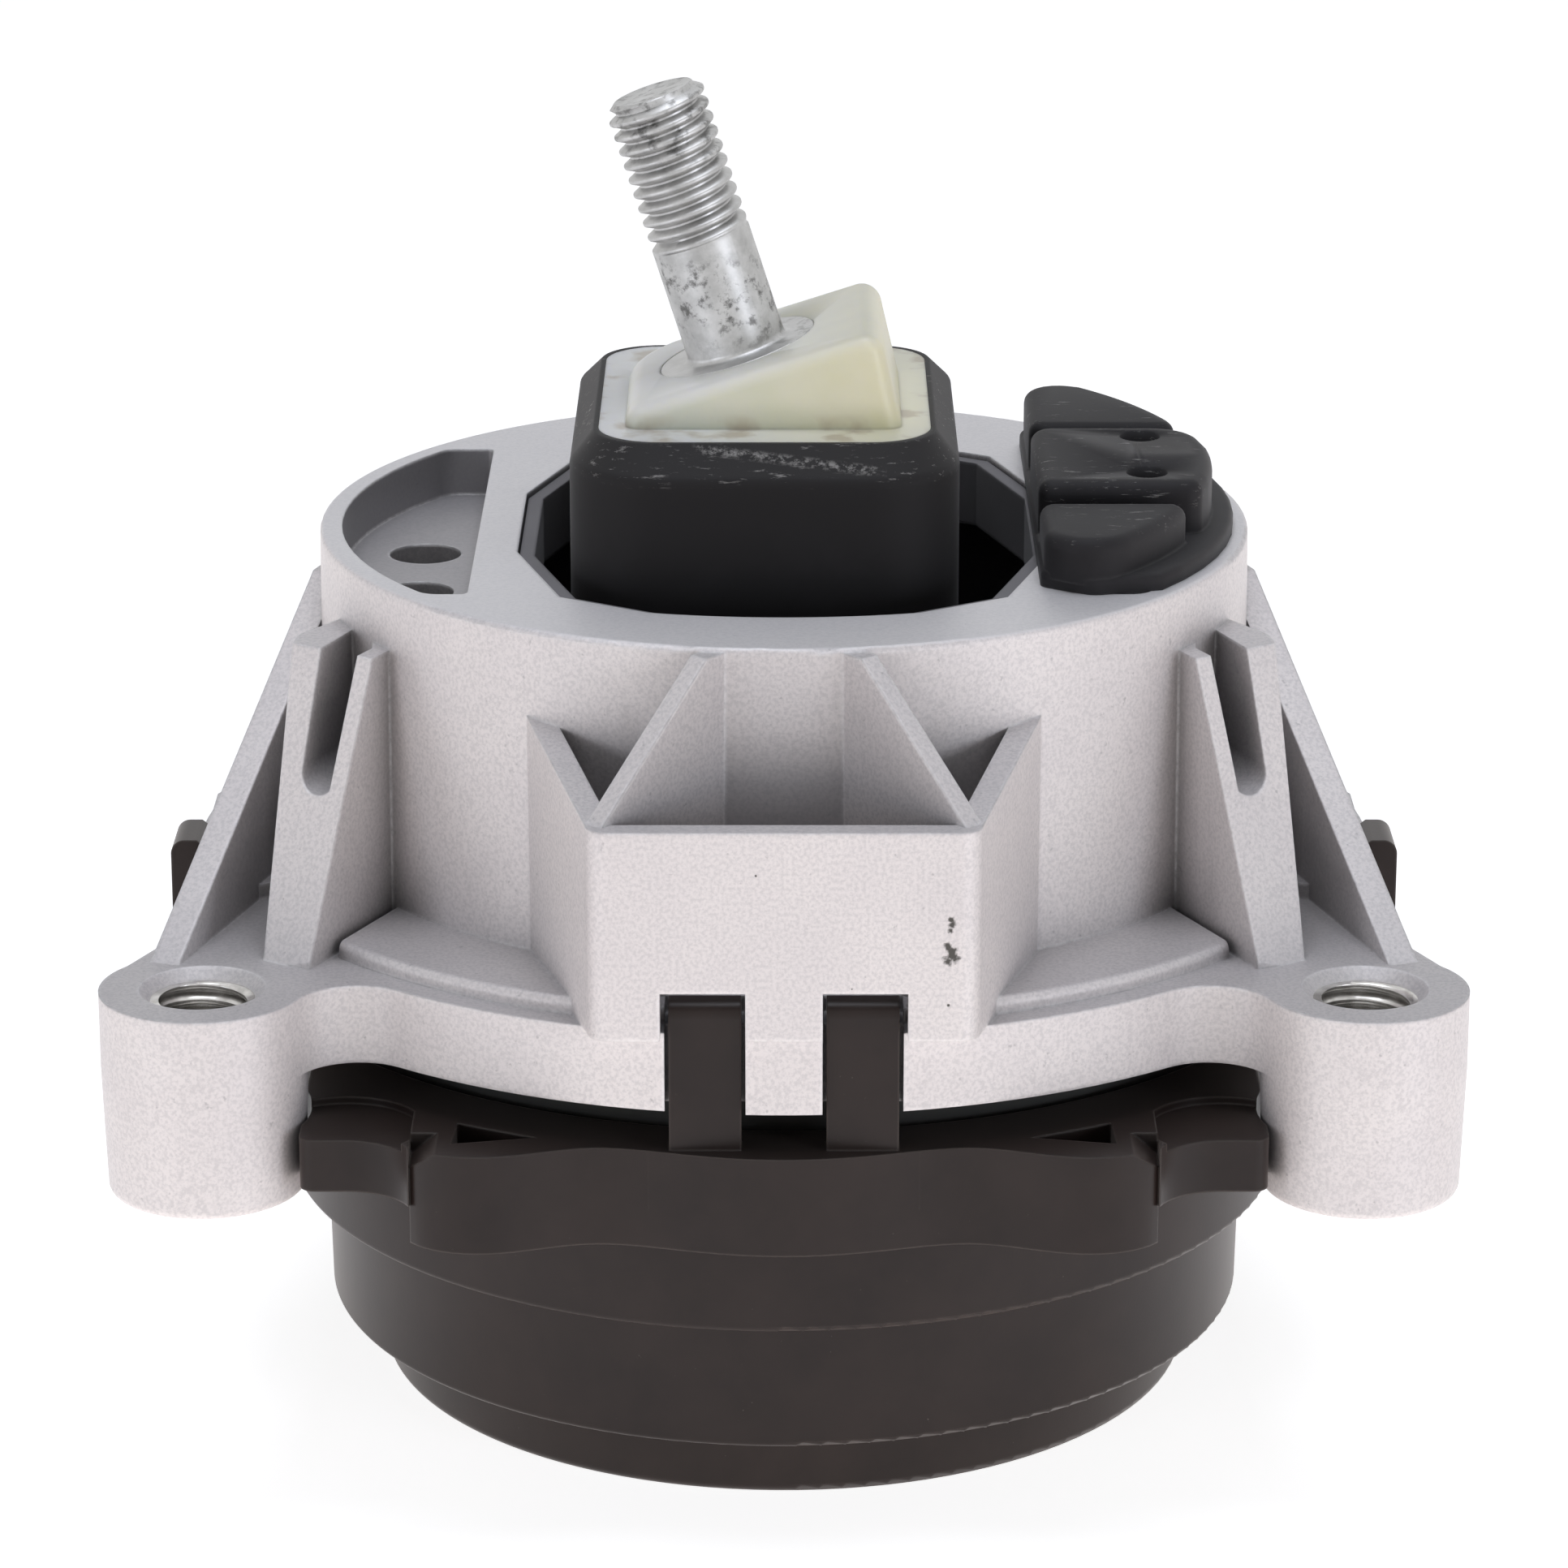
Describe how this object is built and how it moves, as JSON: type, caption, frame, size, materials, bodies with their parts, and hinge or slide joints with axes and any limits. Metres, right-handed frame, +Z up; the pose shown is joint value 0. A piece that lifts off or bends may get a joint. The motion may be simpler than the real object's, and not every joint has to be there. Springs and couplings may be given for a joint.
{
  "type": "engine mount",
  "caption": "Hydraulic engine mount: cast aluminium housing with screw lugs, slanted threaded stud in a rubber-jacketed core, black plastic cup clipped on below.",
  "frame": {"origin": "centre of the cup's foot, on the floor", "axes": "+Z up along the axis of cup and tower, -Y towards the two front lugs and the bracket box, -X the way the stud leans"},
  "size_m": [0.1308, 0.1392, 0.1341],
  "materials": {
    "cast_aluminium": "as cast",
    "zinc_steel": "zinc plated",
    "cream_nylon": "moulded",
    "black_rubber": "moulded",
    "black_plastic": "moulded",
    "pressed_steel": "pressed"
  },
  "bodies": {
    "root": {"housing": "cast_aluminium", "stud": "zinc_steel", "core": "cream_nylon", "main_spring": "black_rubber", "stop_liner": "black_rubber", "side_buffer": "black_rubber", "spring_ring": "black_rubber", "upper_channel_plate": "cast_aluminium", "lower_channel_plate": "cast_aluminium", "decoupler_membrane": "black_rubber", "diaphragm": "black_rubber", "diaphragm_ring": "pressed_steel", "clip_collar": "black_plastic", "cup": "black_plastic"}
  },
  "joints": []
}
